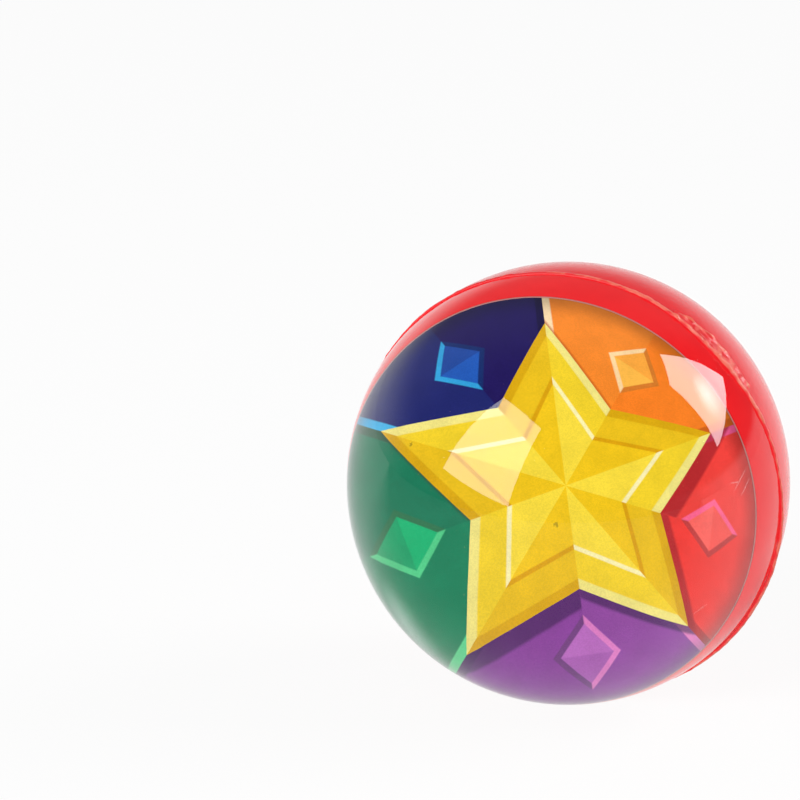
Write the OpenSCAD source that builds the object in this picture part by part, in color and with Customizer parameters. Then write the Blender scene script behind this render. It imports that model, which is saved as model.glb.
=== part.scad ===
// Half-clear bouncy ball: a clear rubber half, a coloured rubber half and a printed card disc
// cemented between them. Millimetres, origin at the ball's centre, clear front facing -Y, +Z up.

/* [Ball] */
// Outside diameter of the ball
ball_d = 35; // [27:0.5:60]
// How far the clear half's flat face lies in front of the ball's centre
joint_rise = 0.5; // [0:0.05:2]

/* [Seam ridge] */
// Radius of the round ridge of flash that the mould left on the back half's rim
ridge_r = 0.26; // [0.15:0.01:0.5]
// How far the ridge stands out from the ball's skin
ridge_proud = 0.36; // [0.1:0.01:0.6]

/* [Trim mark] */
// Length of the patch where the flash was torn off, in degrees round the seam
trim_angle = 38; // [20:1:70]
// Width of the patch at its middle
trim_w = 1.1; // [0.6:0.1:2.5]
// How far the patch stands out from the ball's skin
trim_proud = 0.12; // [0.05:0.01:0.25]
// Place of the patch's middle round the seam, in degrees up from the right-hand side
trim_turn = 47; // [0:1:359]

/* [Picture disc] */
// Diameter of the card disc
card_d = 26.2; // [18:0.1:28]
// Thickness of the card
card_t = 0.3; // [0.2:0.05:0.6]
// Radial clearance between the card and its seat
seat_gap = 0.1; // [0.05:0.05:0.4]
// Thickness of the glue behind the card
glue_t = 0.05; // [0.03:0.01:0.15]

/* [Print] */
// Thickness of the ink on the card
ink_t = 0.05; // [0.03:0.01:0.15]
// Width of the bare white margin round the print
print_margin = 0.1; // [0.05:0.05:1]
// Radius of the star's points
star_point_r = 10.5; // [7:0.1:12]
// Radius of the star's inner corners
star_waist_r = 5.6; // [2.5:0.1:6]
// Turn of the print about the ball's axis, in degrees
print_turn = 26; // [0:1:360]

/* [Cement] */
// Thickness of the clear cement between the two halves
cement_t = 0.1; // [0.05:0.01:0.3]
// Radius of the bead of cement squeezed out along the ridge's front
cement_bead_r = 0.15; // [0.12:0.01:0.25]

/* [Hidden] */

// One wedge lies between each pair of neighbouring star points
WEDGES = 5;
WEDGE_ANGLE = 360 / WEDGES;
ROUND = 128;

ball_r = ball_d / 2;

// Heights of the flat joints along the ball's axis, from the clear half to the card seat's floor
rear_face_z = joint_rise - cement_t;
card_top_z = rear_face_z - ink_t;
card_z = card_top_z - card_t;
seat_z = card_z - glue_t;

// The ball's skin meets the back half's flat face at this radius
seam_r = sqrt(ball_r * ball_r - rear_face_z * rear_face_z);
seat_r = card_d / 2 + seat_gap;
print_r = card_d / 2 - print_margin;

function polar(r, angle) = [r * cos(angle), r * sin(angle)];

// Pieces are made round +Z; this turns the clear front to face -Y
module facing_front() {
    rotate([90, 0, 0]) children();
}

module turned() {
    facing_front() rotate_extrude($fn = ROUND) children();
}

// Half of the ball's round section, from one height to another
module skin_section(low, high) {
    intersection() {
        circle(r = ball_r, $fn = ROUND);
        translate([0, low]) square([ball_r, high - low]);
    }
}

// The ridge's section: round outside, rooted in the rim
module ridge_section() {
    translate([seam_r - ridge_r, rear_face_z - 2 * ridge_r]) {
        square([ridge_proud, 2 * ridge_r]);
        translate([ridge_proud, ridge_r]) circle(r = ridge_r, $fn = ROUND / 4);
    }
}

// Section of the back half without its card seat
module rear_section() {
    skin_section(-ball_r, rear_face_z);
    ridge_section();
}

// Lens-shaped patch behind the ridge: a thin skin on the ball, cut off by a plane that leans back
// from the joint and crosses it on a chord
module trim_patch() {
    chord = ball_r * cos(trim_angle / 2);
    lean = atan(trim_w / (ball_r - chord));
    intersection() {
        turned()
            difference() {
                circle(r = ball_r + trim_proud, $fn = ROUND);
                translate([-ball_d, rear_face_z]) square(2 * ball_d);
                translate([-ball_d, -ball_d]) square([ball_d + ball_r - ridge_r, 2 * ball_d]);
            }
        facing_front()
            rotate(trim_turn)
                translate([chord, 0, rear_face_z])
                    rotate([0, lean, 0])
                        translate([0, -ball_r, 0])
                            cube(ball_d);
    }
}

module star_outline() {
    polygon([
        for (i = [0 : 2 * WEDGES - 1])
            polar(i % 2 == 0 ? star_point_r : star_waist_r, i * WEDGE_ANGLE / 2)
    ]);
}

// The sector from one star point's middle line to the next
module wedge_outline(i) {
    reach = 2 * print_r;
    polygon([
        [0, 0],
        polar(reach, i * WEDGE_ANGLE),
        polar(reach, (i + 0.5) * WEDGE_ANGLE),
        polar(reach, (i + 1) * WEDGE_ANGLE)
    ]);
}

// Lays a flat area of ink on the card, trimmed to the printed circle
module ink() {
    facing_front()
        translate([0, 0, card_top_z])
            rotate(print_turn)
                linear_extrude(ink_t)
                    intersection() {
                        circle(r = print_r, $fn = ROUND);
                        children();
                    }
}

module wedge_print(i, shade) {
    color(shade)
        ink()
            difference() {
                wedge_outline(i);
                star_outline();
            }
}

module disc(diameter, thickness, z) {
    facing_front() translate([0, 0, z]) cylinder(d = diameter, h = thickness, $fn = ROUND);
}

// Coloured back: half the ball, with the ridge at its rim, the trim mark and a seat for the card
module rear_half() {
    color("#e0202c") {
        turned()
            difference() {
                rear_section();
                translate([0, seat_z]) square([seat_r, ball_r]);
            }
        trim_patch();
    }
}

// Clear front: the other half of the ball, a solid lens over the picture
module clear_half() {
    color("#f4f6f4", 0.3)
        turned() skin_section(joint_rise, ball_r);
}

// Clear cement over the back half's flat face, with the bead that squeezes out round its edge
module clear_cement() {
    color("#f6e4e0", 0.5)
        turned()
            difference() {
                translate([0, rear_face_z]) {
                    square([seam_r, cement_t]);
                    translate([seam_r, 0]) circle(r = cement_bead_r, $fn = ROUND / 4);
                }
                skin_section(joint_rise, ball_r);
                rear_section();
            }
}

module picture_card() {
    color("#f5f3ee") disc(card_d, card_t, card_z);
}

module card_glue() {
    color("#e9dfc0") disc(card_d, glue_t, seat_z);
}

module yellow_star_print() {
    color("#f5cf1d") ink() star_outline();
}

module orange_wedge_print() {
    wedge_print(0, "#f5832a");
}

module navy_wedge_print() {
    wedge_print(1, "#241a5c");
}

module green_wedge_print() {
    wedge_print(2, "#22835f");
}

module purple_wedge_print() {
    wedge_print(3, "#8a4a9c");
}

module red_wedge_print() {
    wedge_print(4, "#ee4038");
}

rear_half();
clear_half();
clear_cement();
picture_card();
card_glue();
yellow_star_print();
orange_wedge_print();
navy_wedge_print();
green_wedge_print();
purple_wedge_print();
red_wedge_print();
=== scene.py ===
"""Half-clear bouncy ball: the looks of its rubber, its printed disc and its seam."""
import math

import bmesh
import bpy
from mathutils import Matrix, Vector, noise


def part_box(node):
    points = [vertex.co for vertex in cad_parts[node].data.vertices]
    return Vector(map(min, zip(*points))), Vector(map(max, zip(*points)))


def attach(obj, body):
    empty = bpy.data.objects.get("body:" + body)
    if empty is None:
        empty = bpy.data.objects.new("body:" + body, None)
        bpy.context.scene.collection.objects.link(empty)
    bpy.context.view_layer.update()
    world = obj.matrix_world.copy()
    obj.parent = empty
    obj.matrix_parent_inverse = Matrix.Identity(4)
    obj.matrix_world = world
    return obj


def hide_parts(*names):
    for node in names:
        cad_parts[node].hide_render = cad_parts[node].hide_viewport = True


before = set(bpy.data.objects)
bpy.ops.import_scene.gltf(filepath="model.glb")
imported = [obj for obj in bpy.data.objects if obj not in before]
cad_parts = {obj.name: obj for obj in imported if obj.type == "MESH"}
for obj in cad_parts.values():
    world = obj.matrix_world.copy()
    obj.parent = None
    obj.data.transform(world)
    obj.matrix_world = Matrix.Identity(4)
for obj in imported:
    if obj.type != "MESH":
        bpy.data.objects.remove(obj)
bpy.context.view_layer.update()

MM = 0.001

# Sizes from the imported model: the clear front faces -Y
back_low, back_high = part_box("rear_half")
card_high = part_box("picture_card")[1]
glue_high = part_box("card_glue")[1]
ball_r = back_high.y
ball_mm = ball_r / MM
face_y = back_low.y
seat_floor_y = glue_high.y
ridge_reach = back_high.x

# Seam details, as on the solid
RIDGE_R = 0.26 * MM
SEAT_GAP = 0.1 * MM
CEMENT_BEAD_R = 0.15 * MM
TRIM_ANGLE = math.radians(38)
TRIM_WIDTH = 1.1 * MM
TRIM_PROUD = 0.12 * MM
TRIM_TURN = math.radians(47)
seat_r = card_high.x + SEAT_GAP
skin_r_at_face = math.sqrt(ball_r**2 - face_y**2)

# How far the clear piece reaches past the seat's floor, so that it wets every bonded surface
WETTING = 0.02 * MM

# The print: five wedges round a star, in millimetres
WEDGES = 5
WEDGE_ANGLE = math.tau / WEDGES
PRINT_TURN = math.radians(26)
PRINT_MARGIN = 0.1
PRINT_R = card_high.x / MM - PRINT_MARGIN
STAR_POINT_R = 10.5
STAR_WAIST_R = 5.6

# The picture that the camera stands for
PICTURE_WIDTH = 800
BALL_PIXEL = (568.9, 481.7)
CAMERA_AZIMUTH = math.radians(17.8)
CAMERA_ELEVATION = math.radians(20)
CAMERA_DISTANCE_IN_RADII = 31
LENS_MM = 309
SENSOR_MM = 36
CLIP_NEAR = 0.01
CLIP_FAR = 20


def shade(code):
    """Linear colour of a six-digit code."""
    levels = [int(code[i:i + 2], 16) / 255 for i in (1, 3, 5)]
    return tuple(v / 12.92 if v <= 0.04045 else ((v + 0.055) / 1.055) ** 2.4 for v in levels) + (1.0,)


class Nodes:
    """A node tree, with short calls for the steps that a pattern takes."""

    def __init__(self, tree):
        self.tree = tree

    def put(self, socket, value):
        """Gives a socket a number, a colour or the result of another step."""
        if isinstance(value, bpy.types.NodeSocket):
            self.tree.links.new(value, socket)
        else:
            socket.default_value = value

    def step(self, kind, out=0, inputs=(), **settings):
        """Adds a node, fills its inputs in order and returns one of its outputs."""
        node = self.tree.nodes.new(kind)
        for setting, value in settings.items():
            setattr(node, setting, value)
        for socket, value in zip(node.inputs, inputs):
            if value is not None:
                self.put(socket, value)
        return node.outputs[out]

    def math(self, operation, *values):
        """A sum, product or other step on numbers."""
        return self.step("ShaderNodeMath", inputs=values, operation=operation)

    def measure(self, operation, *vectors):
        """A number taken from vectors: a length, a distance or a dot product."""
        return self.step("ShaderNodeVectorMath", out="Value", inputs=vectors, operation=operation)

    def axes(self, where):
        """The X, Y and Z of a place."""
        return self.step("ShaderNodeSeparateXYZ", inputs=(where,)).node.outputs

    def mix(self, factor, low, high, blend="MIX"):
        """Colour between two others."""
        node = self.tree.nodes.new("ShaderNodeMix")
        node.data_type = "RGBA"
        node.blend_type = blend
        self.put(node.inputs["Factor"], factor)
        self.put(node.inputs["A"], low)
        self.put(node.inputs["B"], high)
        return node.outputs["Result"]

    def place(self, turn=0.0):
        """Object coordinates in millimetres, turned about the ball's axis."""
        here = self.step("ShaderNodeTexCoord", out="Object")
        mapping = self.tree.nodes.new("ShaderNodeMapping")
        self.put(mapping.inputs["Vector"], here)
        mapping.inputs["Rotation"].default_value = (0, turn, 0)
        mapping.inputs["Scale"].default_value = (1 / MM, 1 / MM, 1 / MM)
        return mapping.outputs["Vector"]

    def grain(self, where, scale, detail=2.0, roughness=0.5):
        """Soft noise from 0 to 1."""
        node = self.tree.nodes.new("ShaderNodeTexNoise")
        self.put(node.inputs["Vector"], where)
        node.inputs["Scale"].default_value = scale
        node.inputs["Detail"].default_value = detail
        node.inputs["Roughness"].default_value = roughness
        return node.outputs["Fac"]

    def between(self, value, low, high, start=0.0, end=1.0):
        """Value carried smoothly from one range to another and held at its ends."""
        node = self.tree.nodes.new("ShaderNodeMapRange")
        node.interpolation_type = "SMOOTHSTEP"
        for socket, number in zip(node.inputs, (value, low, high, start, end)):
            self.put(socket, number)
        return node.outputs["Result"]

    def bump(self, height, depth, normal=None):
        """Normal of a surface raised by a height from 0 to 1 times the depth."""
        node = self.tree.nodes.new("ShaderNodeBump")
        node.inputs["Strength"].default_value = 1.0
        node.inputs["Distance"].default_value = depth
        self.put(node.inputs["Height"], height)
        if normal is not None:
            self.put(node.inputs["Normal"], normal)
        return node.outputs["Normal"]

    def ray(self, kind):
        """1 for that kind of ray and 0 for others."""
        return self.step("ShaderNodeLightPath", out=f"Is {kind} Ray")

    def seen(self):
        """1 for rays that reach the camera straight or through the clear front."""
        return self.math("MAXIMUM", self.ray("Camera"), self.ray("Transmission"))


class Finish(Nodes):
    """One material, with its principled shader."""

    def __init__(self, name, roughness=0.5, specular=0.5):
        self.material = bpy.data.materials.new(name)
        self.material.use_nodes = True
        super().__init__(self.material.node_tree)
        self.shader = self.tree.nodes["Principled BSDF"]
        self.set("Roughness", roughness)
        self.set("Specular IOR Level", specular)

    def set(self, socket, value):
        """Gives one of the shader's sockets its value."""
        self.put(self.shader.inputs[socket], value)


# Materials
RUBBER_IOR = 1.5

# Millimetres out from the skin: where the flash begins, and where it is thin enough to look pale and
# carries a painted highlight
FLASH_FROM, FLASH_TO = 0.015, 0.06
PALE_LIT_FROM, PALE_LIT_TO = 0.04, 0.18
FLASH_DULLNESS = 0.22


def from_axis(finish, where):
    """Distance from the ball's axis."""
    flat = finish.step("ShaderNodeVectorMath", inputs=(where, (1, 0, 1)), operation="MULTIPLY")
    return finish.measure("LENGTH", flat)


def red_rubber():
    """Glossy moulded rubber with mottling, fine orange peel, handling scuffs and dull flash, pale at its
    crest and with a painted highlight there.
    """
    finish = Finish("red_rubber")
    finish.set("IOR", RUBBER_IOR)
    where = finish.place()
    mottle = finish.grain(where, 0.35, detail=3.0)
    body = finish.mix(mottle, shade("#EC232B"), shade("#F92B32"))

    # The flash pales towards its crest, in patches, partly as thin rubber and partly as a painted
    # highlight from the right box; less so low down and at the left, where less light falls
    radius = finish.measure("LENGTH", where)
    x, _, z = finish.axes(where)
    less_lit_low_down = finish.between(z, -6.0, -1.0, 0.09, 0.0)
    less_lit_at_left = finish.between(x, -2.5, 2.0, 0.12, 0.0)
    patchy = finish.between(finish.grain(where, 1.1), 0.35, 0.65, -0.07, 0.07)
    rise = finish.math("SUBTRACT", radius, finish.math("ADD", less_lit_low_down, less_lit_at_left))
    rise = finish.math("ADD", rise, patchy)
    pale = finish.between(rise, ball_mm + PALE_LIT_FROM, ball_mm + PALE_LIT_TO)
    flash = finish.between(radius, ball_mm + FLASH_FROM, ball_mm + FLASH_TO)
    # Pale thin flash and painted highlight: the crest turns salmon
    finish.set("Base Color", finish.mix(finish.math("MULTIPLY", pale, flash), body, shade("#F4735F")))

    scuff = finish.grain(where, 1.7, detail=6.0, roughness=0.7)
    skin = finish.between(scuff, 0.35, 0.75, 0.09, 0.24)
    finish.set("Roughness", finish.math("MULTIPLY_ADD", flash, FLASH_DULLNESS, skin))
    peel = finish.grain(where, 2.2, detail=2.0)
    pits = finish.grain(where, 9.0, detail=3.0)
    finish.set("Normal", finish.bump(pits, 0.006 * MM, finish.bump(peel, 0.02 * MM)))
    return finish.material


def bonded_rubber():
    """The back's flat face under the cement, wetted so that it has no shine of its own."""
    finish = Finish("bonded_rubber", roughness=0.7, specular=0.0)
    where = finish.place()
    mottle = finish.grain(where, 0.5, detail=4.0)
    finish.set("Base Color", finish.mix(mottle, shade("#E21A22"), shade("#F02428")))
    return finish.material


# Each scratch: turn about the axis, tilt from it and heading in degrees, half its length in millimetres
SCRATCHES = [(15, 70, 29, 1.4), (12.5, 71.5, 34, 1.1), (15, 68, -14, 0.8), (-22, 58, 40, 0.9)]
SCRATCH_HALF_WIDTH = 0.07
SCRATCH_FULL_SHARE = 0.4
SCRATCH_SCATTER = 0.22


def scratched(finish, where):
    """1 on the few fine scratches of the clear front and 0 elsewhere."""
    front = Vector((0, -1, 0))
    total = 0.0
    for turn, tilt, heading, reach in SCRATCHES:
        turn, tilt, heading = (math.radians(angle) for angle in (turn, tilt, heading))
        out = Vector((math.cos(turn), 0, math.sin(turn)))
        middle = math.sin(tilt) * out + math.cos(tilt) * front
        to_seam = math.cos(tilt) * out - math.sin(tilt) * front
        round_axis = Vector((-out.z, 0, out.x))
        direction = math.cos(heading) * to_seam + math.sin(heading) * round_axis
        off = finish.measure("DOT_PRODUCT", where, middle.cross(direction))
        away = finish.measure("DISTANCE", where, middle * ball_mm)
        line = finish.between(finish.math("ABSOLUTE", off), SCRATCH_HALF_WIDTH, 0.0)
        line = finish.math("MULTIPLY", line, finish.between(away, reach, SCRATCH_FULL_SHARE * reach))
        total = finish.math("MAXIMUM", total, line)
    return total


def clear_rubber():
    """Polished clear rubber with a trace of surface waviness, fine scuffs and a few scratches."""
    finish = Finish("clear_rubber", roughness=0.0)
    finish.set("IOR", RUBBER_IOR)
    finish.set("Base Color", shade("#FDFDFB"))
    where = finish.place()
    wave = finish.grain(where, 0.25, detail=1.0)
    scuff = finish.between(finish.grain(where, 6.0, detail=4.0, roughness=0.65), 0.68, 0.74)
    finish.set("Normal", finish.bump(scuff, 0.0008 * MM, finish.bump(wave, 0.01 * MM)))
    clear = finish.math("MULTIPLY_ADD", scratched(finish, where), -SCRATCH_SCATTER, 1.0)
    finish.set("Transmission Weight", clear)
    return finish.material


def seam_cement():
    """Cloudy cement, stained by the red rubber."""
    finish = Finish("seam_cement")
    finish.set("IOR", RUBBER_IOR)
    where = finish.place()
    cloud = finish.grain(where, 1.4, detail=4.0)
    finish.set("Base Color", finish.mix(cloud, shade("#D62F36"), shade("#EC5854")))
    finish.set("Roughness", finish.between(cloud, 0.3, 0.7, 0.12, 0.3))
    return finish.material


STAINED_SHADED_MARGIN = 0.05


def white_card():
    """White fibrous card, stained red at its bare margin and darkened there by painted shade."""
    finish = Finish("white_card", roughness=0.8, specular=0.0)
    where = finish.place()
    fibre = finish.grain(where, 4.0, detail=5.0, roughness=0.7)
    paper = finish.mix(fibre, shade("#EDEAE2"), shade("#FBFAF6"))
    # Painted shade and a red stain darken the card's bare margin
    stained = finish.between(from_axis(finish, where), PRINT_R - STAINED_SHADED_MARGIN, PRINT_R)
    finish.set("Base Color", finish.mix(stained, paper, shade("#C98F8B")))
    return finish.material


def dried_glue():
    """Yellowish dried glue behind the card."""
    finish = Finish("dried_glue", roughness=0.3)
    where = finish.place()
    cloud = finish.grain(where, 0.6, detail=3.0)
    finish.set("Base Color", finish.mix(cloud, shade("#D9CC9F"), shade("#EDE4C8")))
    return finish.material


EDGE_SHADE = 0.55
EDGE_SHADE_WIDTH = 2.0
SPECKS_PER_MM = 0.45
SPECK_R = 0.13
SPECK_FRAY = 0.12
SPECK_COVER = 0.55


def printed(finish, where, colour, speck):
    """Lays the card's tooth, the ink's uneven cover, painted shade towards the print's edge and a few
    specks over a printed colour.
    """
    tooth = finish.between(finish.grain(where, 14.0, detail=2.0), 0.3, 0.7, 0.93, 1.05)
    cover = finish.between(finish.grain(where, 0.7, detail=3.0), 0.3, 0.7, 0.95, 1.04)
    radius = from_axis(finish, where)
    # Painted shade: the ink darkens towards the print's edge, in the seat
    shaded = finish.between(radius, PRINT_R - EDGE_SHADE_WIDTH, PRINT_R, 1.0, EDGE_SHADE)
    level = finish.math("MULTIPLY", finish.math("MULTIPLY", tooth, cover), shaded)
    grey = finish.step("ShaderNodeCombineColor", inputs=(level, level, level))
    colour = finish.mix(1.0, colour, grey, "MULTIPLY")
    spots = finish.tree.nodes.new("ShaderNodeTexVoronoi")
    finish.put(spots.inputs["Vector"], where)
    spots.inputs["Scale"].default_value = SPECKS_PER_MM
    size = finish.between(finish.grain(where, 0.3), 0.42, 0.62, 0.0, SPECK_R)
    frayed = finish.math(
        "MULTIPLY_ADD", finish.grain(where, 7.0), SPECK_FRAY, spots.outputs["Distance"]
    )
    bare = finish.math("MULTIPLY", finish.math("LESS_THAN", frayed, size), SPECK_COVER)
    finish.set("Base Color", finish.mix(bare, colour, shade(speck)))
    return finish.material


SHADOW_SIDE = math.radians(-45)
LINE_WIDTH = 0.5
SOFT_EDGE = 0.05
TWO_TONE = 0.14
DARK_EDGE = 0.75
GEM_MIDDLE = 9.1
GEM_HALF_LENGTH = 2.15
GEM_HALF_WIDTH = 1.85
GEM_TABLE = 0.78
GEM_SOFT_EDGE = 0.03
GEM_RIM_TINT = 0.25
GEM_FACET_TINT = 0.35
CAST_WIDTH = 0.95
CAST_LEAST_WIDTH = 0.1
CAST_SOFT_EDGE = 0.12
CAST_DEPTH = 0.8
INNER_STAR = 0.6
INNER_TINT = 0.6
INNER_LINE = 0.12
INNER_SOFT_EDGE = 0.04
FACET_SOFT_EDGE = 0.005
STAR_SPECK = "#7A6820"
WEDGE_SPECK = "#F2EEE4"


def wedge_ink(name, index, base, bright, line, dark):
    """One wedge of the wheel: two tones, ruled edges, the star's cast shade and a gem."""
    finish = Finish(name, roughness=0.6, specular=0.0)
    middle = PRINT_TURN + (index + 0.5) * WEDGE_ANGLE
    where = finish.place(turn=middle)
    along, _, across = finish.axes(where)
    off_middle = finish.math("ABSOLUTE", across)
    half = WEDGE_ANGLE / 2

    # Two tones meet on the wedge's middle line
    lit = finish.between(across, -SOFT_EDGE, SOFT_EDGE)
    colour = finish.mix(finish.math("MULTIPLY", lit, TWO_TONE), shade(base), shade(bright))

    # Ruled edges: pale on one side, dark on the other
    to_edge = finish.math(
        "SUBTRACT",
        finish.math("MULTIPLY", along, math.sin(half)),
        finish.math("MULTIPLY", off_middle, math.cos(half)),
    )
    on_edge = finish.between(to_edge, LINE_WIDTH + SOFT_EDGE, LINE_WIDTH - SOFT_EDGE)
    pale_edge = finish.math("MULTIPLY", on_edge, lit)
    dark_edge = finish.math("MULTIPLY", on_edge, finish.math("SUBTRACT", 1.0, lit))
    colour = finish.mix(pale_edge, colour, shade(line))
    colour = finish.mix(finish.math("MULTIPLY", dark_edge, DARK_EDGE), colour, shade(dark))

    # The star's cast shade, wider where the star's edge faces the shadow side
    tip = Vector((STAR_POINT_R * math.cos(half), STAR_POINT_R * math.sin(half)))
    edge = (tip - Vector((STAR_WAIST_R, 0))).normalized()
    for side in (1, -1):
        facing = math.atan2(-side * edge.x, edge.y) + middle
        width = CAST_WIDTH * max(0.0, math.cos(facing - SHADOW_SIDE))
        if width < CAST_LEAST_WIDTH:
            continue
        from_star = finish.math(
            "SUBTRACT",
            finish.math("MULTIPLY", finish.math("SUBTRACT", along, STAR_WAIST_R), edge.y),
            finish.math("MULTIPLY", finish.math("MULTIPLY", across, side), edge.x),
        )
        cast = finish.between(from_star, width + CAST_SOFT_EDGE, width - CAST_SOFT_EDGE)
        on_side = lit if side == 1 else finish.math("SUBTRACT", 1.0, lit)
        cast = finish.math("MULTIPLY", cast, on_side)
        colour = finish.mix(finish.math("MULTIPLY", cast, CAST_DEPTH), colour, shade(dark))

    # A four-sided gem with a pale rim on one side and a dark rim on the other
    from_gem = finish.math("SUBTRACT", along, GEM_MIDDLE)
    spread = finish.math(
        "ADD",
        finish.math("DIVIDE", finish.math("ABSOLUTE", from_gem), GEM_HALF_LENGTH),
        finish.math("DIVIDE", off_middle, GEM_HALF_WIDTH),
    )
    in_gem = finish.between(spread, 1 + GEM_SOFT_EDGE, 1 - GEM_SOFT_EDGE)
    in_table = finish.between(spread, GEM_TABLE + GEM_SOFT_EDGE, GEM_TABLE - GEM_SOFT_EDGE)
    rim = finish.mix(lit, shade(dark), shade(line))
    colour = finish.mix(in_gem, colour, finish.mix(GEM_RIM_TINT, rim, shade(bright)))
    outer_facet = finish.between(from_gem, -SOFT_EDGE, SOFT_EDGE)
    outer_facet = finish.math("MULTIPLY", outer_facet, GEM_FACET_TINT)
    table = finish.mix(outer_facet, shade(bright), shade(base))
    colour = finish.mix(in_table, colour, table)
    return printed(finish, where, colour, WEDGE_SPECK)


def star_ink():
    """The star: two facets to each point, a pale or gold rim and a raised inner star."""
    finish = Finish("yellow_ink", roughness=0.6, specular=0.0)
    where = finish.place()
    x, _, z = finish.axes(where)
    radius = from_axis(finish, where)
    angle = finish.math("SUBTRACT", finish.math("ARCTAN2", z, x), PRINT_TURN)
    turn = finish.math("FRACT", finish.math("DIVIDE", angle, WEDGE_ANGLE))
    off_point = finish.math("MULTIPLY", finish.math("PINGPONG", turn, 0.5), WEDGE_ANGLE)
    lit = finish.between(turn, 0.5 - FACET_SOFT_EDGE, 0.5 + FACET_SOFT_EDGE)
    along = finish.math("MULTIPLY", radius, finish.math("COSINE", off_point))
    across = finish.math("MULTIPLY", radius, finish.math("SINE", off_point))

    half = WEDGE_ANGLE / 2
    waist = Vector((STAR_WAIST_R * math.cos(half), STAR_WAIST_R * math.sin(half)))
    edge = (waist - Vector((STAR_POINT_R, 0))).normalized()

    def to_star_edge(scale):
        """Distance inside the edge of a star of that scale."""
        return finish.math(
            "SUBTRACT",
            finish.math("MULTIPLY", finish.math("SUBTRACT", STAR_POINT_R * scale, along), edge.y),
            finish.math("MULTIPLY", across, -edge.x),
        )

    colour = finish.mix(lit, shade("#E8BE20"), shade("#EFCF2E"))
    inner = to_star_edge(INNER_STAR)
    raised = finish.math("MULTIPLY", finish.between(inner, -SOFT_EDGE, SOFT_EDGE), INNER_TINT)
    colour = finish.mix(raised, colour, finish.mix(lit, shade("#F3C91E"), shade("#F9E04A")))
    off_line = finish.math("ABSOLUTE", inner)
    inner_line = finish.between(off_line, INNER_LINE + INNER_SOFT_EDGE, INNER_LINE - INNER_SOFT_EDGE)
    colour = finish.mix(inner_line, colour, finish.mix(lit, shade("#D9A012"), shade("#F6EDB0")))
    rim = finish.between(to_star_edge(1.0), LINE_WIDTH + SOFT_EDGE, LINE_WIDTH - SOFT_EDGE)
    colour = finish.mix(rim, colour, finish.mix(lit, shade("#D8A714"), shade("#EFE384")))
    return printed(finish, where, colour, STAR_SPECK)


# Pieces
def piece(name, bm, materials, nodes, smooth_angle=math.radians(30)):
    """Makes the mesh a piece of the ball that stands for its CAD nodes."""
    mesh = bpy.data.meshes.new(name)
    bm.to_mesh(mesh)
    bm.free()
    for material in materials:
        mesh.materials.append(material)
    mesh.shade_smooth()
    mesh.set_sharp_from_angle(angle=smooth_angle)
    made = bpy.data.objects.new(name, mesh)
    bpy.context.scene.collection.objects.link(made)
    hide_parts(*nodes)
    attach(made, "root")
    return made


DOME_SEGMENTS = 192
DOME_RINGS = 128


def clear_front():
    """The clear front, cut from a ball; its foot sinks in the bonded face, so no air lies between."""
    foot_y = seat_floor_y + WETTING
    bm = bmesh.new()
    bmesh.ops.create_uvsphere(bm, u_segments=DOME_SEGMENTS, v_segments=DOME_RINGS, radius=ball_r)
    to_axis = Matrix.Rotation(math.pi / 2, 3, "X")
    bmesh.ops.rotate(bm, verts=bm.verts, cent=(0, 0, 0), matrix=to_axis)
    everything = bm.verts[:] + bm.edges[:] + bm.faces[:]
    cut = bmesh.ops.bisect_plane(
        bm, geom=everything, plane_co=(0, foot_y, 0), plane_no=(0, 1, 0), clear_outer=True
    )
    rim = [e for e in cut["geom_cut"] if isinstance(e, bmesh.types.BMEdge)]
    bmesh.ops.contextual_create(bm, geom=rim)
    bmesh.ops.recalc_face_normals(bm, faces=bm.faces)
    dome = piece("clear_front", bm, [clear_rubber()], ["clear_half"])
    dome.visible_shadow = False
    dome.visible_diffuse = False


def arc(middle, radius, start, end, steps):
    """Points (out from the axis, along it) on an arc; angle 0 points outwards."""
    turns = [start + (end - start) * i / steps for i in range(steps + 1)]
    return [(middle[0] + radius * math.cos(a), middle[1] + radius * math.sin(a)) for a in turns]


SPIN_STEPS = 720
HAIR = 0.001 * MM


def spun(outline):
    """A bmesh turned from an outline about the ball's axis."""
    bm = bmesh.new()
    verts = [bm.verts.new((out, along, 0)) for out, along in outline]
    edges = [bm.edges.new(pair) for pair in zip(verts, verts[1:])]
    bmesh.ops.spin(
        bm, geom=verts + edges, cent=(0, 0, 0), axis=(0, 1, 0), angle=math.tau,
        steps=SPIN_STEPS, use_merge=True,
    )
    bmesh.ops.remove_doubles(bm, verts=bm.verts, dist=HAIR)
    bmesh.ops.recalc_face_normals(bm, faces=bm.faces)
    return bm


def hump(value, middle, spread, power=2):
    """1 at the middle, falling to 0 over the spread; a higher power has a flatter top."""
    return math.exp(-(((value - middle) / spread) ** power))


# How torn the flash is: everywhere, and more at each spot (place, spread and amount)
RAGGED_LEAST = 0.12
RAGGED_SPOTS = [(TRIM_TURN, math.radians(22), 1.0), (math.radians(205), math.radians(14), 0.4)]
LUMP_ROW_STEP = 7.0


def raggedness(angle):
    """How torn the flash is round the seam: most at the trim mark."""
    total = RAGGED_LEAST
    for spot, spread, amount in RAGGED_SPOTS:
        away = (angle - spot + math.pi) % math.tau - math.pi
        total += (1 - total) * amount * hump(away, 0.0, spread)
    return total


def lumps(angle, row, scale):
    """Small lumps along the seam, from 0 upwards."""
    place = Vector((ball_mm * math.cos(angle), ball_mm * math.sin(angle), LUMP_ROW_STEP * row))
    return max(0.0, noise.noise(place * scale))


# The flash stands highest at the lower right
RIDGE_LOW = 0.42
RIDGE_RISE = 0.48
HIGH_SIDE = math.radians(-35)
HIGH_SPREAD = math.radians(34)

# Height and scale of the lumps where the flash is whole and where it is torn
WHOLE_LUMPS = [(0.12, 0.3), (0.2, 1.4)]
TORN_LOW = 0.5
TORN_LUMPS = [(0.6, 0.9), (0.6, 2.3)]


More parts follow.
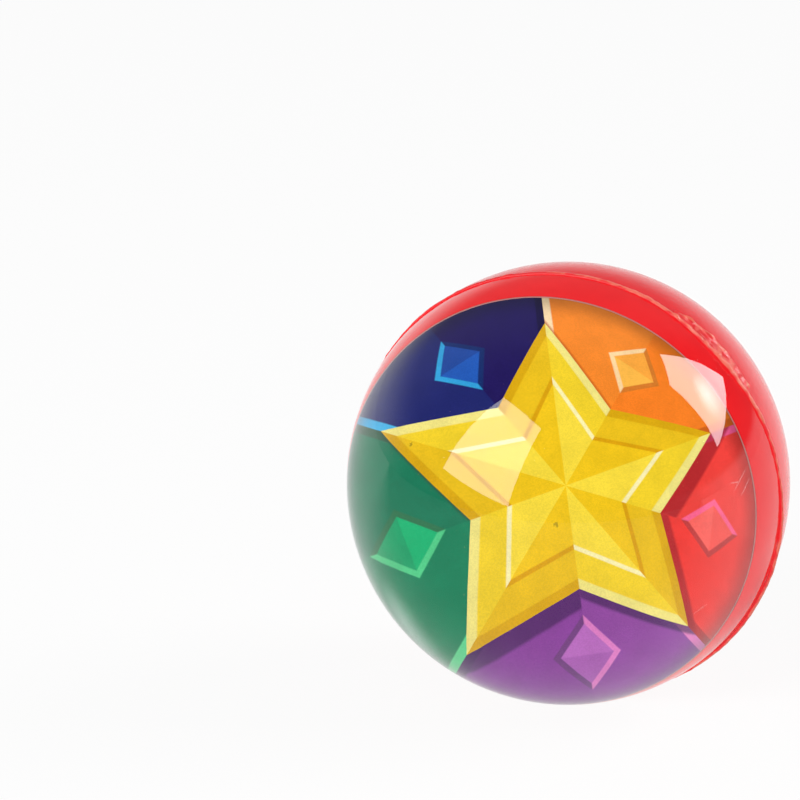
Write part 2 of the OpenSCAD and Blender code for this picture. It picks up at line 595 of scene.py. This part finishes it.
def ridge_height(angle, row):
    """Share of the ridge left standing at that place round the seam, from 0 to 1."""
    torn = raggedness(angle)
    level = RIDGE_LOW + RIDGE_RISE * hump(angle, HIGH_SIDE, HIGH_SPREAD, 4)
    steady = sum((height * lumps(angle, row, scale) for height, scale in WHOLE_LUMPS), level)
    broken = sum((height * lumps(angle, row, scale) for height, scale in TORN_LUMPS), TORN_LOW)
    return min(1.0, steady * (1 - torn) + broken * torn)


# Heights on the torn patch as multiples of its usual one, and places across it as shares of its width
TRIM_FLOOR = 0.3
TRIM_FLOOR_LUMPS = 0.9
TRIM_EDGE = 0.5
TRIM_EDGE_LUMPS = 3.0
TRIM_HIGHEST = 2.4
TRIM_EDGE_PLACE = 0.85
TRIM_EDGE_SPREAD = 0.17
TRIM_END = 1.06
TRIM_END_SLOPE = 0.1


def trim_height(angle, y):
    """How far the torn patch stands out from the skin there: thin, lumpy, with a raised far edge."""
    chord = ball_r * math.cos(TRIM_ANGLE / 2)
    out = ball_r * math.cos(angle - TRIM_TURN) - chord
    if out <= 0:
        return 0.0
    depth = (y - face_y) / (TRIM_WIDTH * out / (ball_r - chord))
    floor = TRIM_FLOOR + TRIM_FLOOR_LUMPS * lumps(angle, y / MM, 1.6)
    edge = TRIM_EDGE + TRIM_EDGE_LUMPS * lumps(angle, 3, 1.0)
    edge *= hump(depth, TRIM_EDGE_PLACE, TRIM_EDGE_SPREAD)
    cover = min(1.0, max(0.0, (TRIM_END - depth) / TRIM_END_SLOPE))
    return min(TRIM_HIGHEST, floor + edge) * cover * TRIM_PROUD


# Where the flash leans forward or lies back, and by how much
LEAN_FORWARD = 0.4 * MM
LEAN_MIDDLE = math.radians(65)
LEAN_SPREAD = math.radians(58)
FOLD_FORWARD = 0.52 * MM
FOLD_SPREAD = math.radians(14)
THIN_BACK = 0.3 * MM
THIN_MIDDLE = math.radians(4)
THIN_SPREAD = math.radians(22)


def folded(angle):
    """How far the flash leans forward over the clear front: along the top, most at the trim mark."""
    lean = LEAN_FORWARD * hump(angle, LEAN_MIDDLE, LEAN_SPREAD, 4)
    return lean + FOLD_FORWARD * hump(angle, TRIM_TURN, FOLD_SPREAD)


def thinned(angle):
    """How far the flash's front lies back where it is thin, along the right."""
    return THIN_BACK * hump(angle, THIN_MIDDLE, THIN_SPREAD, 4)


def rescale(vert, new_out):
    """Moves a vertex out from or in to the ball's axis."""
    out = math.hypot(vert.co.x, vert.co.z)
    vert.co.x *= new_out / out
    vert.co.z *= new_out / out


# The skin has finer rows of faces near the seam, where the torn patch lies
FINE_DEPTH = 2.2 * MM
FINE_ROWS = 30
COARSE_ROWS = 56
RIDGE_ROWS = 12
RIDGE_ROOT = 0.05 * MM
CLEAR_OF_SEAT = 1.1


def red_back():
    """The red back with its ridge of flash, ragged round the seam and torn off at the trim mark."""
    root_y = face_y + 2 * RIDGE_R
    fine_start = math.acos((root_y + FINE_DEPTH) / ball_r)
    fine_end = math.acos(root_y / ball_r)
    turns = [fine_start * i / COARSE_ROWS for i in range(COARSE_ROWS)]
    turns += [fine_start + (fine_end - fine_start) * i / FINE_ROWS for i in range(FINE_ROWS + 1)]
    skin = [(ball_r * math.sin(a), ball_r * math.cos(a)) for a in turns]
    quarter = math.pi / 2
    ridge = arc((ridge_reach - RIDGE_R, face_y + RIDGE_R), RIDGE_R, quarter, -quarter, RIDGE_ROWS)
    face = [(seat_r, face_y), (seat_r, seat_floor_y), (0, seat_floor_y)]
    bm = spun(skin + ridge + face)

    root = skin_r_at_face - RIDGE_ROOT
    for vert in bm.verts:
        out = math.hypot(vert.co.x, vert.co.z)
        angle = math.atan2(vert.co.z, vert.co.x)
        if out > ball_r + HAIR:
            rescale(vert, root + (out - root) * ridge_height(angle, 1))
            to_front = (root_y - vert.co.y) / (2 * RIDGE_R)
            vert.co.y += thinned(angle) * to_front - folded(angle)
        elif root_y - HAIR < vert.co.y < root_y + FINE_DEPTH and out > seat_r * CLEAR_OF_SEAT:
            rescale(vert, out + trim_height(angle, vert.co.y))
    for polygon in bm.faces:
        middle = polygon.calc_center_median()
        inside = math.hypot(middle.x, middle.z) < skin_r_at_face
        polygon.material_index = 1 if inside and middle.y < seat_floor_y + WETTING else 0
    piece("red_back", bm, [red_rubber(), bonded_rubber()], ["rear_half"])


# The bead's arc, sunk in the corner behind it, and the share of its height that its drops keep
BEAD_SUNK_IN = 0.04 * MM
BEAD_SUNK_BACK = 0.02 * MM
BEAD_START = 0.2
BEAD_END = -math.pi / 2 - 0.4
BEAD_ROWS = 10
BEAD_LEAST = 0.45
BEAD_SWELL = 0.5
BEAD_DROPS = 1.6
BEAD_SMOOTH_ANGLE = math.radians(80)


def cement_bead():
    """The bead of cement squeezed out along the ridge's front, in uneven drops."""
    middle_out = skin_r_at_face - BEAD_SUNK_IN
    middle_y = face_y + BEAD_SUNK_BACK
    bm = spun(arc((middle_out, middle_y), CEMENT_BEAD_R, BEAD_START, BEAD_END, BEAD_ROWS))
    for vert in bm.verts:
        out = math.hypot(vert.co.x, vert.co.z)
        angle = math.atan2(vert.co.z, vert.co.x)
        swell = BEAD_LEAST + BEAD_SWELL * min(1.0, BEAD_DROPS * lumps(angle, 2, 0.8))
        rescale(vert, middle_out + (out - middle_out) * swell)
        vert.co.y = middle_y + (vert.co.y - middle_y) * swell + thinned(angle)
    piece("cement_bead", bm, [seam_cement()], ["clear_cement"], BEAD_SMOOTH_ANGLE)


def dress(node, material):
    """Gives a CAD node its finish."""
    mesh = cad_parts[node].data
    mesh.materials.clear()
    mesh.materials.append(material)


red_back()
clear_front()
cement_bead()
dress("picture_card", white_card())
dress("card_glue", dried_glue())
dress("yellow_star_print", star_ink())
WEDGE_COLOURS = {
    "orange": ("#F47F26", "#F8B64A", "#FADDB0", "#C2561B"),
    "navy": ("#231A5A", "#2358B4", "#38B2E6", "#130D36"),
    "green": ("#1A7858", "#19B273", "#5CD390", "#36523F"),
    "purple": ("#87409A", "#B468BC", "#E583C6", "#45215C"),
    "red": ("#EC3A34", "#F4635C", "#F7609A", "#A3222A"),
}
for index, (colour, inks) in enumerate(WEDGE_COLOURS.items()):
    dress(f"{colour}_wedge_print", wedge_ink(f"{colour}_ink", index, *inks))


# Stage
right = Vector((math.cos(CAMERA_AZIMUTH), math.sin(CAMERA_AZIMUTH), 0))
back = Vector((
    math.sin(CAMERA_AZIMUTH) * math.cos(CAMERA_ELEVATION),
    -math.cos(CAMERA_AZIMUTH) * math.cos(CAMERA_ELEVATION),
    math.sin(CAMERA_ELEVATION),
))
up = back.cross(right)


def stand_camera():
    """A long lens at the photograph's angle, aimed so that the ball sits where it is there."""
    data = bpy.data.cameras.new("camera")
    data.lens = LENS_MM
    data.sensor_width = SENSOR_MM
    distance = CAMERA_DISTANCE_IN_RADII * ball_r
    data.clip_start = CLIP_NEAR
    data.clip_end = CLIP_FAR
    pixel = distance * SENSOR_MM / LENS_MM / PICTURE_WIDTH
    off_right = BALL_PIXEL[0] - PICTURE_WIDTH / 2
    off_down = BALL_PIXEL[1] - PICTURE_WIDTH / 2
    aim = pixel * (off_down * up - off_right * right)
    camera = bpy.data.objects.new("camera", data)
    camera.location = back * distance
    camera.rotation_euler = (aim - camera.location).to_track_quat("-Z", "Y").to_euler()
    bpy.context.scene.collection.objects.link(camera)
    bpy.context.scene.camera = camera


def soft_box(name, middle, across, along, width, height, watts, shape="RECTANGLE"):
    """A soft box, with the directions of its width and height; it shines to the ball's side."""
    data = bpy.data.lights.new(name, "AREA")
    data.shape = shape
    data.size = width
    data.size_y = height
    data.energy = watts
    along = Vector(along).normalized()
    away = Vector(across).cross(along).normalized()
    lamp = bpy.data.objects.new(name, data)
    lamp.location = middle
    lamp.rotation_euler = Matrix((along.cross(away), along, away)).transposed().to_euler()
    bpy.context.scene.collection.objects.link(lamp)


WHITE = (1, 1, 1, 1)


def white_room(fill):
    """A white room that the ball mirrors as brightest behind it and near the table."""
    world = bpy.data.worlds.new("white_room")
    world.use_nodes = True
    nodes = Nodes(world.node_tree)
    lighting = nodes.step("ShaderNodeBackground", inputs=(WHITE, fill))

    here = nodes.step("ShaderNodeTexCoord", out="Generated")
    x, y, z = nodes.axes(here)
    behind = nodes.between(y, -0.3, 0.35, 0.1, 0.8)
    near_table = nodes.between(z, 0.4, 0.0, 0.25, 1.0)
    level = nodes.math("MULTIPLY", behind, near_table)
    # A dark screen stands at the back on the right, down to a little above the table
    screen = nodes.math("MULTIPLY", nodes.between(x, 0.25, 0.5), nodes.between(z, 0.05, 0.12, 0.0, 0.85))
    level = nodes.math("MULTIPLY", level, nodes.math("SUBTRACT", 1.0, screen))
    mirrored = nodes.step("ShaderNodeBackground", inputs=(WHITE, level))

    result = nodes.step("ShaderNodeMixShader", inputs=(nodes.ray("Glossy"), lighting, mirrored))
    plain = nodes.step("ShaderNodeBackground", inputs=(WHITE, 1.0))
    result = nodes.step("ShaderNodeMixShader", inputs=(nodes.seen(), result, plain))
    nodes.put(nodes.tree.nodes["World Output"].inputs["Surface"], result)
    bpy.context.scene.world = world


# How much of the table is even light: as seen past the ball, and as mirrored in it
SEEN_SHARE = 0.92
MIRRORED_SHARE = 0.85
TABLE_GREY = 0.85

# Painted patches that the ball mirrors, a pool of light and a shadow: place on the table, width and
# depth in ball radii, and strength
PAINTED_GATHERED_LIGHT = (-1.1, -0.3, 0.65, 0.4, 0.9)
PAINTED_BALL_SHADOW = (1.0, 0.95, 1.0, 1.0, 0.45)


def pale_floor(half_width):
    """A pale table top that keeps the ball's shadow and reads as white around it."""
    finish = Finish("pale_table", roughness=0.9, specular=0.0)
    finish.set("Base Color", (TABLE_GREY, TABLE_GREY, TABLE_GREY, 1))
    here = finish.step("ShaderNodeTexCoord", out="Object")
    y = finish.axes(here)["Y"]
    # Painted light: mirrored in the ball, the table glows, dimmer towards its front
    mirrored = finish.between(y, -1.6 * ball_r, 0.4 * ball_r, 0.25, 1.0)

    def patch(x, y, width, depth, strength):
        """The strength at that place on the table, fading to 0 at the edge of its ellipse."""
        mapping = finish.tree.nodes.new("ShaderNodeMapping")
        mapping.vector_type = "TEXTURE"
        finish.put(mapping.inputs["Vector"], here)
        mapping.inputs["Location"].default_value = (x * ball_r, y * ball_r, back_low.z)
        mapping.inputs["Scale"].default_value = (width * ball_r, depth * ball_r, ball_r)
        away = finish.measure("LENGTH", mapping.outputs["Vector"])
        return finish.math("MULTIPLY", finish.between(away, 1.0, 0.0), strength)

    # Painted shadow of the ball from the left box, behind it, and a painted pool of light at the left
    # where the clear front would gather light; only mirrored rays see them
    lit = finish.math("SUBTRACT", 1.0, patch(*PAINTED_BALL_SHADOW))
    mirrored = finish.math("MULTIPLY", mirrored, lit)
    mirrored = finish.math("ADD", mirrored, patch(*PAINTED_GATHERED_LIGHT))
    seen = finish.seen()
    glossy = finish.ray("Glossy")
    strength = finish.math("MAXIMUM", seen, finish.math("MULTIPLY", glossy, mirrored))
    share = finish.math(
        "MAXIMUM",
        finish.math("MULTIPLY", seen, SEEN_SHARE),
        finish.math("MULTIPLY", glossy, MIRRORED_SHARE),
    )
    glow = finish.step("ShaderNodeEmission", inputs=(WHITE, strength))
    blend = finish.step("ShaderNodeMixShader", inputs=(share, finish.shader.outputs[0], glow))
    finish.put(finish.tree.nodes["Material Output"].inputs["Surface"], blend)

    bm = bmesh.new()
    bmesh.ops.create_grid(bm, x_segments=1, y_segments=1, size=half_width)
    bmesh.ops.translate(bm, verts=bm.verts, vec=(0, 0, back_low.z))
    mesh = bpy.data.meshes.new("table")
    bm.to_mesh(mesh)
    bm.free()
    mesh.materials.append(finish.material)
    floor = bpy.data.objects.new("table", mesh)
    bpy.context.scene.collection.objects.link(floor)


# Directions of each soft box's width and height, found from its mirrored corners
LEFT_BOX = ((0.81, -0.56, -0.19), (0.19, -0.05, 0.98))
RIGHT_BOX = ((-0.735, 0.66, 0.15), (0.313, 0.138, 0.939))

# The right box's lamp shows through as a bright middle: ellipses that shrink towards the ball
GLOW_MIDDLE = Vector((0.283, 0.184, 0.195))
GLOW_WIDTH = 0.115
GLOW_HEIGHT = 0.165
GLOW_WATTS = 0.056
GLOW_RINGS = 6
RING_SHRINK = 0.145
RING_STEP = 0.003

ROOM_FILL = 0.28
TABLE_HALF_WIDTH = 3.0

stand_camera()
soft_box("front_left_box", (-0.186, -0.376, 0.302), *LEFT_BOX, width=0.316, height=0.462, watts=2.4)
soft_box("right_box", (0.336, 0.207, 0.327), *RIGHT_BOX, width=0.206, height=0.461, watts=2.36)
for ring in range(GLOW_RINGS):
    size = 1 - RING_SHRINK * ring
    soft_box(
        f"right_box_glow_{ring}", GLOW_MIDDLE * (1 - RING_STEP * ring), *RIGHT_BOX,
        width=GLOW_WIDTH * size, height=GLOW_HEIGHT * size, watts=GLOW_WATTS * size**2, shape="ELLIPSE",
    )
white_room(ROOM_FILL)
pale_floor(TABLE_HALF_WIDTH)
bpy.context.scene.view_settings.view_transform = "Standard"
